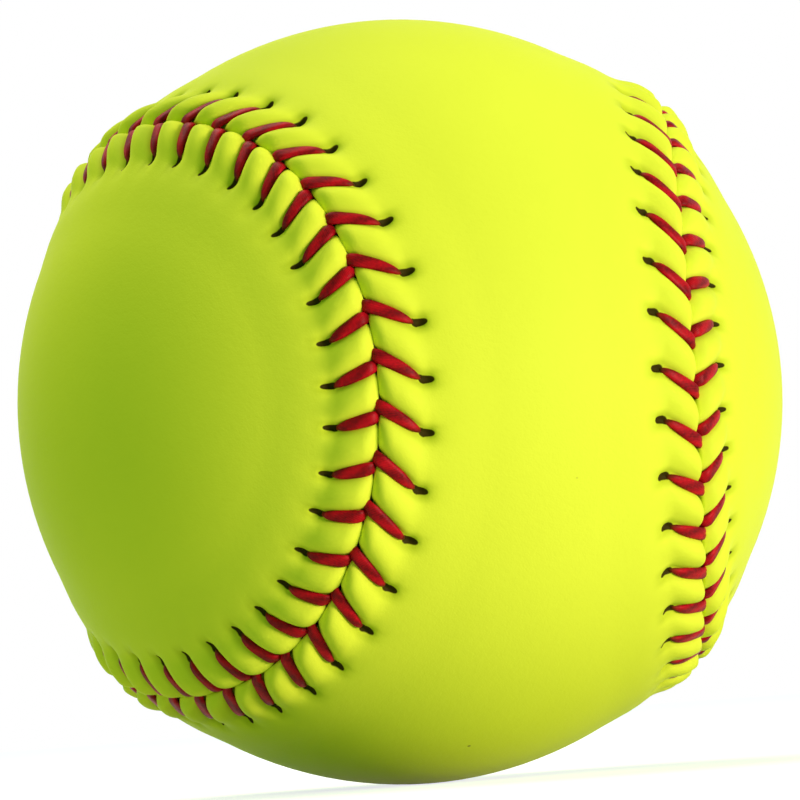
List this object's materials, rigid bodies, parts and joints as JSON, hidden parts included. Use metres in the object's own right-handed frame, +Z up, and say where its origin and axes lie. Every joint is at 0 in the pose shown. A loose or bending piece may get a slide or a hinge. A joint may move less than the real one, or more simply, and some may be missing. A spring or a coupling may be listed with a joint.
{
  "type": "softball",
  "caption": "Sewn ball with two figure-eight leather panels, a raised red-stitched seam, cement films and a moulded core.",
  "frame": {"origin": "middle of the ball", "axes": "-Y through the middle of the front panel's waist, +Y through the middle of the back panel's waist, +Z up, with the seam mirrored by the planes X = 0 and Z = 0"},
  "size_m": [0.0962, 0.0962, 0.0962],
  "materials": {
    "cover_leather": "optic yellow grained synthetic leather with a soft sheen",
    "thread": "waxed red two-strand thread, pulled flat",
    "core_foam": "dense moulded polyurethane foam",
    "cement": "dried latex adhesive"
  },
  "bodies": {
    "root": {"core": "core_foam", "cement_film_front": "cement", "cement_film_back": "cement", "cover_panel_front": "cover_leather", "cover_panel_back": "cover_leather", "seam_thread_one": "thread", "seam_thread_two": "thread"}
  },
  "joints": []
}
